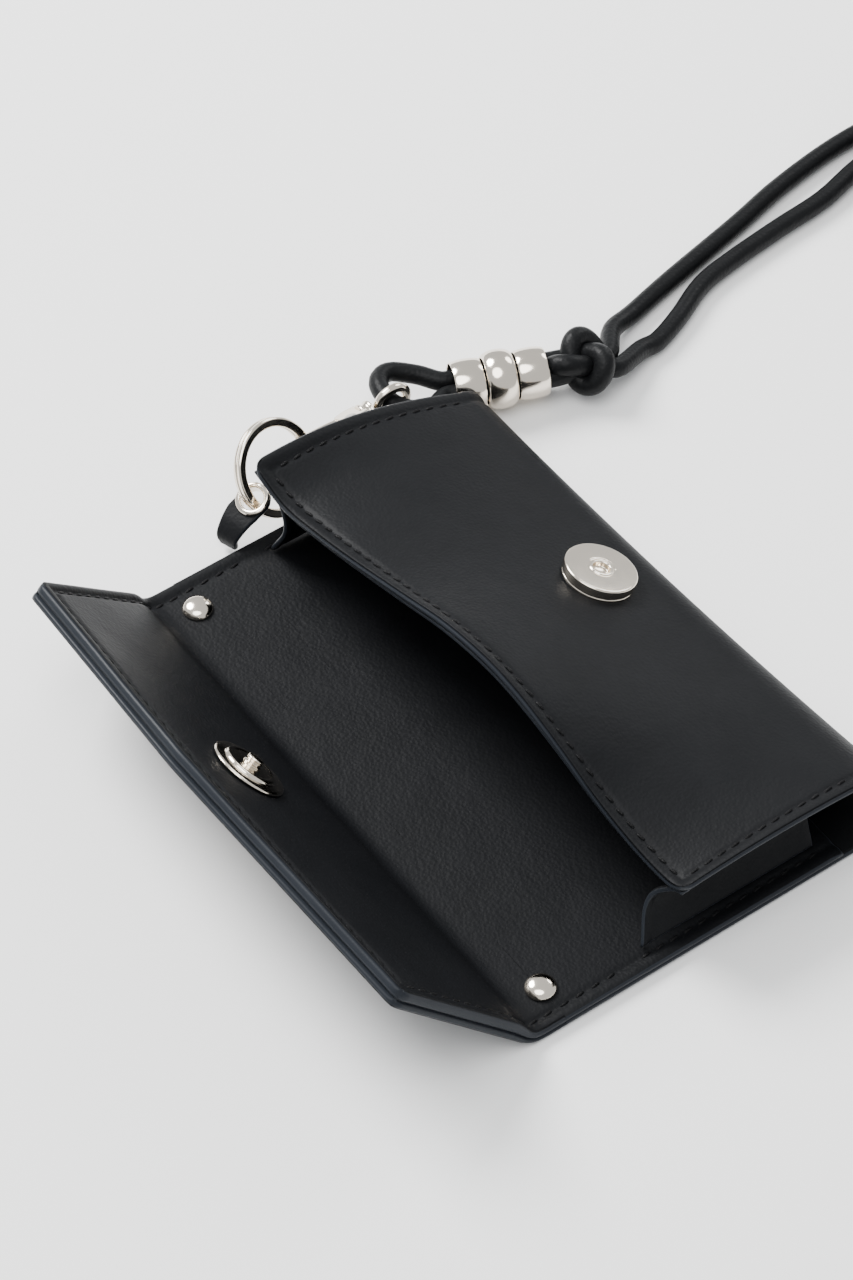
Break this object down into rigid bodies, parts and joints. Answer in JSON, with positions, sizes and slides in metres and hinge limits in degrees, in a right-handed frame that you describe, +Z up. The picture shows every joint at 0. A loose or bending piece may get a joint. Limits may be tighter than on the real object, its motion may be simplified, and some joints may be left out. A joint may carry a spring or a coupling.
{
  "type": "long wallet with cord strap",
  "caption": "Long leather wallet lying open: boxed pocket, wide flap with a snap, and a leather cord strap on a ring, swivel hook, metal beads and a knot.",
  "frame": {"origin": "middle of the back panel's flat underside, on the surface the wallet lies on", "axes": "+X along the wallet, away from the ring; +Y from the open mouth towards the bottom fold; +Z up from the surface"},
  "size_m": [0.1821, 0.3374, 0.0406],
  "materials": {
    "leather": "fine pebbled grain, satin",
    "lining_leather": "smooth, matt",
    "cord_leather": "stitched round cord, soft sheen",
    "nickel": "polished pale nickel",
    "dark_nickel": "dull nickel"
  },
  "bodies": {
    "back": {"back_panel": "leather", "back_lining": "lining_leather", "flap_hinge_strip": "leather", "bottom_fold": "leather", "ring_tab": "leather", "tab_eyelet": "nickel", "gusset_left": "leather", "gusset_right": "leather", "swivel_eye": "nickel", "strap_loop": "cord_leather", "strap_knot": "cord_leather", "strap_strand_upper": "cord_leather", "strap_strand_lower": "cord_leather", "strap_coil": "cord_leather", "coil_tie": "cord_leather"},
    "front": {"front_panel": "leather", "front_lining": "lining_leather", "snap_socket": "nickel", "snap_socket_back": "dark_nickel"},
    "flap_middle": {"flap_middle_leather": "leather", "flap_middle_lining": "lining_leather", "rivet_left_cap": "nickel", "rivet_right_cap": "nickel", "rivet_left_back": "dark_nickel", "rivet_right_back": "dark_nickel"},
    "flap_front": {"flap_front_leather": "leather", "flap_front_facing": "leather", "snap_plate": "nickel", "snap_stud": "nickel", "snap_post": "dark_nickel", "snap_cap": "nickel"},
    "ring": {"ring": "nickel"},
    "hook": {"hook_body": "nickel", "gate_pin": "dark_nickel"},
    "gate": {"hook_gate": "nickel"},
    "bead_inner": {"bead_inner": "nickel"},
    "bead_middle": {"bead_middle": "nickel"},
    "bead_outer": {"bead_outer": "nickel"}
  },
  "joints": [
    {"name": "flap_fold", "type": "hinge", "parent": "back", "child": "flap_middle", "pos_m": [0, -0.036, 0.0095], "axis": [-1, 0, 0], "range_deg": [0, 139], "deforming": ["flap_hinge_strip"]},
    {"name": "mouth", "type": "hinge", "parent": "back", "child": "front", "pos_m": [0, 0.03, 0.0095], "axis": [1, 0, 0], "range_deg": [0, 19], "deforming": ["gusset_left", "gusset_right"]},
    {"name": "flap_crease", "type": "hinge", "parent": "flap_middle", "child": "flap_front", "pos_m": [0, -0.0608, 0.0014], "axis": [1, 0, 0], "range_deg": [0, 40]},
    {"name": "ring_swing", "type": "hinge", "parent": "back", "child": "ring", "pos_m": [-0.08275, -0.025, 0.0104], "axis": [0.3649, 0.5257, -0.7684], "range_deg": [-3, 3]},
    {"name": "hook_swivel", "type": "hinge", "parent": "back", "child": "hook", "pos_m": [-0.0893, 0.012, 0.0108], "axis": [0, 1, 0], "range_deg": [-12, 12]},
    {"name": "gate_hinge", "type": "hinge", "parent": "hook", "child": "gate", "pos_m": [-0.08691, 0.0073, 0.01244], "axis": [0.5669, 0, -0.8238], "range_deg": [0, 18], "stiffness_Nm_per_rad": 0.01, "springref_deg": -8.59},
    {"name": "bead_inner_slide", "type": "slide", "parent": "back", "child": "bead_inner", "axis": [0.3759, 0.9267, 0], "range_m": [-0.002, 0]},
    {"name": "bead_middle_slide", "type": "slide", "parent": "back", "child": "bead_middle", "axis": [0.3759, 0.9267, 0], "range_m": [-0.0014, 0]},
    {"name": "bead_outer_slide", "type": "slide", "parent": "back", "child": "bead_outer", "axis": [0.3759, 0.9267, 0], "range_m": [-0.0007, 0]}
  ],
  "couplings": [
    {"joint": "mouth", "follows": "flap_fold", "ratio": 0.1366},
    {"joint": "bead_middle_slide", "follows": "bead_inner_slide", "ratio": 0.667},
    {"joint": "bead_outer_slide", "follows": "bead_inner_slide", "ratio": 0.333}
  ]
}
